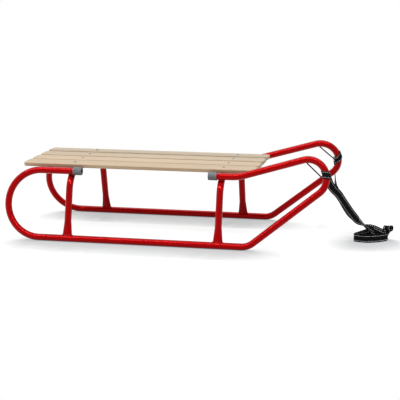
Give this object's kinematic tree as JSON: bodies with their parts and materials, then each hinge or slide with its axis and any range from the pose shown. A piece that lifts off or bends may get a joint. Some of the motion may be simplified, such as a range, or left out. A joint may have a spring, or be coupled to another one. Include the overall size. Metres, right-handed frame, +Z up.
{
  "type": "steel-tube sled",
  "caption": "Snow sled with bent steel-tube runners that end in hooked noses, a slatted wooden seat on tube arches, plastic end sleeves and a webbing pull strap.",
  "frame": {"origin": "on the floor, under the middle of the rigid sled's length and width", "axes": "+X points forward, the way the sled is pulled, +Y to its left and +Z up"},
  "size_m": [1.2148, 0.462, 0.2934],
  "materials": {
    "red_paint": "gloss red paint on bent steel tube",
    "seat_wood": "pale beech, planed and thinly varnished, satin",
    "sleeve_plastic": "blue-grey moulded plastic, matt",
    "webbing": "black woven webbing with two pale stitched lines",
    "keeper_line": "thin black twisted line"
  },
  "bodies": {
    "root": {"side_frame_left": "red_paint", "side_frame_right": "red_paint", "rear_arch": "red_paint", "front_arch": "red_paint", "seat_slat_1": "seat_wood", "seat_slat_2": "seat_wood", "seat_slat_3": "seat_wood", "seat_slat_4": "seat_wood", "sleeve_rear_left": "sleeve_plastic", "sleeve_rear_right": "sleeve_plastic", "sleeve_front_left": "sleeve_plastic", "sleeve_front_right": "sleeve_plastic", "strap_loop_left": "webbing", "strap_loop_right": "webbing", "strap_leg_left": "webbing", "strap_leg_right": "webbing", "strap_hank": "webbing", "strap_keeper_left": "keeper_line", "strap_keeper_right": "keeper_line"}
  },
  "joints": []
}
